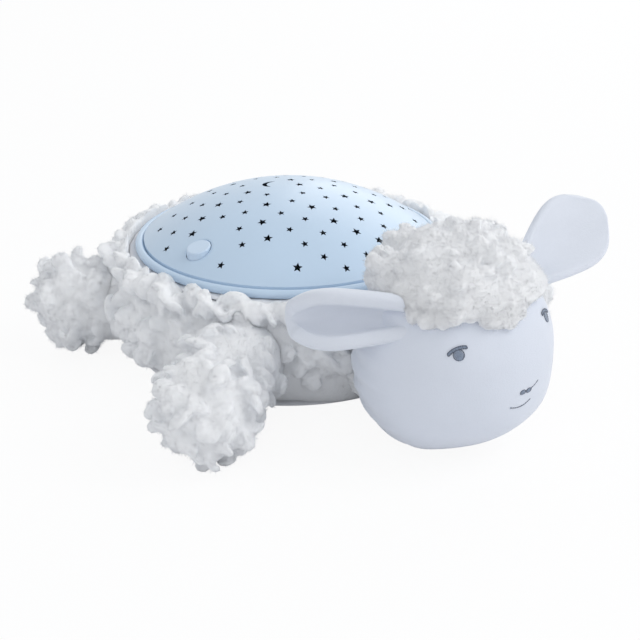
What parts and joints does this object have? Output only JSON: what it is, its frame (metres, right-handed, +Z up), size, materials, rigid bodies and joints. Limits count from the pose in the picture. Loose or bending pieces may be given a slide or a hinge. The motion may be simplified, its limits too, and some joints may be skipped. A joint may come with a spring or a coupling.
{
  "type": "night light projector",
  "caption": "Plush lamb lying on its belly, with a star-pierced plastic dome on its back that throws a night sky from coloured lamps over a battery housing.",
  "frame": {"origin": "on the floor, under the middle of the star dome", "axes": "+Z up; the lamb faces -Y and its left side is +X"},
  "size_m": [0.2353, 0.2621, 0.1005],
  "materials": {
    "dome": "satin pale blue",
    "button": "satin pale blue",
    "pad": "matte silicone",
    "housing": "fine grain",
    "screw": "plated",
    "cell": "plain wrap",
    "contact": "nickel plated",
    "lead": "insulated wire",
    "board": "solder mask",
    "component": "moulded",
    "deck": "black",
    "lamp_red": "clear tinted",
    "lamp_green": "clear tinted",
    "lamp_blue": "clear tinted",
    "wool": "tufted wool",
    "plush": "short smooth pile",
    "belly": "plain cloth",
    "thread": "satin stitch"
  },
  "bodies": {
    "lamb": {"star_dome": "dome", "button_pad": "pad", "rim_hem": "wool", "housing_tub": "housing", "housing_screws": "screw", "battery_cells": "cell", "contacts_front": "contact", "contacts_rear": "contact", "battery_leads": "lead", "main_board": "board", "board_components": "component", "board_screws": "screw", "lamp_lead": "lead", "switch_lead": "lead", "light_deck": "deck", "led_board": "board", "led_board_screws": "screw", "led_red": "lamp_red", "led_green": "lamp_green", "led_blue": "lamp_blue", "switch_board": "board", "switch_board_screws": "screw", "body_plush": "wool", "belly_panel": "belly", "front_foot_right": "wool", "front_foot_left": "wool", "rear_foot_right": "wool", "rear_foot_left": "wool", "head": "plush", "wool_cap": "wool", "ear_right": "plush", "ear_left": "plush", "eye_right": "thread", "eye_left": "thread", "nose": "thread", "mouth": "thread"},
    "button": {"mode_button": "button"},
    "door": {"battery_door": "housing", "door_screw": "screw"}
  },
  "joints": [
    {"name": "button_press", "type": "slide", "parent": "lamb", "child": "button", "axis": [0, 0, -1], "range_m": [0, 0.0012], "stiffness_N_per_m": 400, "springref_m": -0.0005, "deforming": ["button_pad"]},
    {"name": "door_hinge", "type": "hinge", "parent": "lamb", "child": "door", "pos_m": [0, 0.02925, 0.00305], "axis": [1, 0, 0], "range_deg": [0, 85]}
  ]
}
